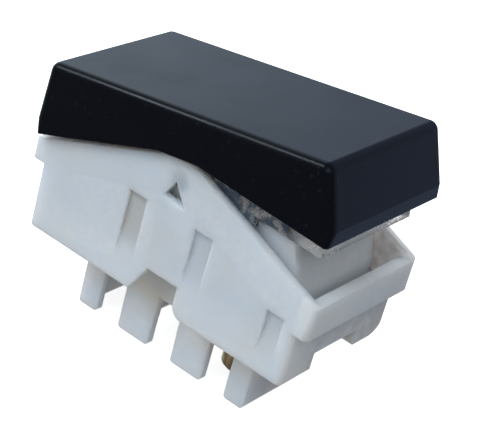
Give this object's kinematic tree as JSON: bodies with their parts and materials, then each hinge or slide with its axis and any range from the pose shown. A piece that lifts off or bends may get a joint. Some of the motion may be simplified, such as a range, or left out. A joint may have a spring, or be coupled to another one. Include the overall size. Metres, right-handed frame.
{
  "type": "light switch module",
  "caption": "Slim rocker light switch module with a tilting cap on a clip-in white housing, a see-saw change-over contact and screw terminals underneath.",
  "frame": {"origin": "centre of the bounding box's underside, on the plane of the tab ends the module stands on", "axes": "+Z points at the rocker, X runs along the long side and the pressed end of the rocker is at -X, Y runs across"},
  "size_m": [0.0442, 0.024, 0.0388],
  "materials": {
    "housing_white": "satin",
    "base_white": "satin",
    "cap_black": "satin",
    "carrier_clear": "polished",
    "plunger_white": "satin",
    "spring_steel": "bright",
    "contact_brass": "rolled",
    "contact_silver": "bright",
    "screw_brass": "turned"
  },
  "bodies": {
    "frame": {"housing": "housing_white", "terminal_base": "base_white", "left_terminal_strip": "contact_brass", "common_terminal_strip": "contact_brass", "right_terminal_strip": "contact_brass", "left_fixed_tip": "contact_silver", "right_fixed_tip": "contact_silver"},
    "rocker": {"rocker_cap": "cap_black", "rocker_carrier": "carrier_clear", "plunger_spring": "spring_steel"},
    "plunger": {"plunger": "plunger_white"},
    "lever": {"contact_lever": "contact_brass", "left_moving_tip": "contact_silver", "right_moving_tip": "contact_silver"},
    "left_clamp": {"left_clamp_plate": "contact_brass"},
    "left_screw": {"left_terminal_screw": "screw_brass"},
    "common_clamp": {"common_clamp_plate": "contact_brass"},
    "common_screw": {"common_terminal_screw": "screw_brass"},
    "right_clamp": {"right_clamp_plate": "contact_brass"},
    "right_screw": {"right_terminal_screw": "screw_brass"}
  },
  "joints": [
    {"name": "rocker_tilt", "type": "hinge", "parent": "frame", "child": "rocker", "pos_m": [0, 0, 0.02657], "axis": [0, 1, 0], "range_deg": [0, 18.8]},
    {"name": "lever_tilt", "type": "hinge", "parent": "frame", "child": "lever", "pos_m": [0, 0, 0.0138], "axis": [0, 1, 0], "range_deg": [-10, 0]},
    {"name": "plunger_slide", "type": "slide", "parent": "rocker", "child": "plunger", "axis": [-0.1633, 0, 0.9866], "range_m": [-0.0003, 0.0006], "stiffness_N_per_m": 300, "springref_m": -0.0006, "deforming": ["plunger_spring"]},
    {"name": "left_clamp_travel", "type": "slide", "parent": "frame", "child": "left_clamp", "axis": [0, 0, 1], "range_m": [-0.0025, 0]},
    {"name": "left_screw_turn", "type": "hinge", "parent": "left_clamp", "child": "left_screw", "pos_m": [-0.00885, 0, 0], "axis": [0, 0, 1], "range_deg": [-1802, 0]},
    {"name": "common_clamp_travel", "type": "slide", "parent": "frame", "child": "common_clamp", "axis": [0, 0, 1], "range_m": [-0.0025, 0]},
    {"name": "common_screw_turn", "type": "hinge", "parent": "common_clamp", "child": "common_screw", "pos_m": [0, 0, 0], "axis": [0, 0, 1], "range_deg": [-1802, 0]},
    {"name": "right_clamp_travel", "type": "slide", "parent": "frame", "child": "right_clamp", "axis": [0, 0, 1], "range_m": [0, 0.0025]},
    {"name": "right_screw_turn", "type": "hinge", "parent": "right_clamp", "child": "right_screw", "pos_m": [0.00885, 0, 0], "axis": [0, 0, 1], "range_deg": [0, 1802]}
  ],
  "couplings": [
    {"joint": "lever_tilt", "follows": "rocker_tilt", "ratio": -0.53192},
    {"joint": "left_screw_turn", "follows": "left_clamp_travel", "rad_per_m": 12566},
    {"joint": "common_screw_turn", "follows": "common_clamp_travel", "rad_per_m": 12566},
    {"joint": "right_screw_turn", "follows": "right_clamp_travel", "rad_per_m": 12566}
  ]
}
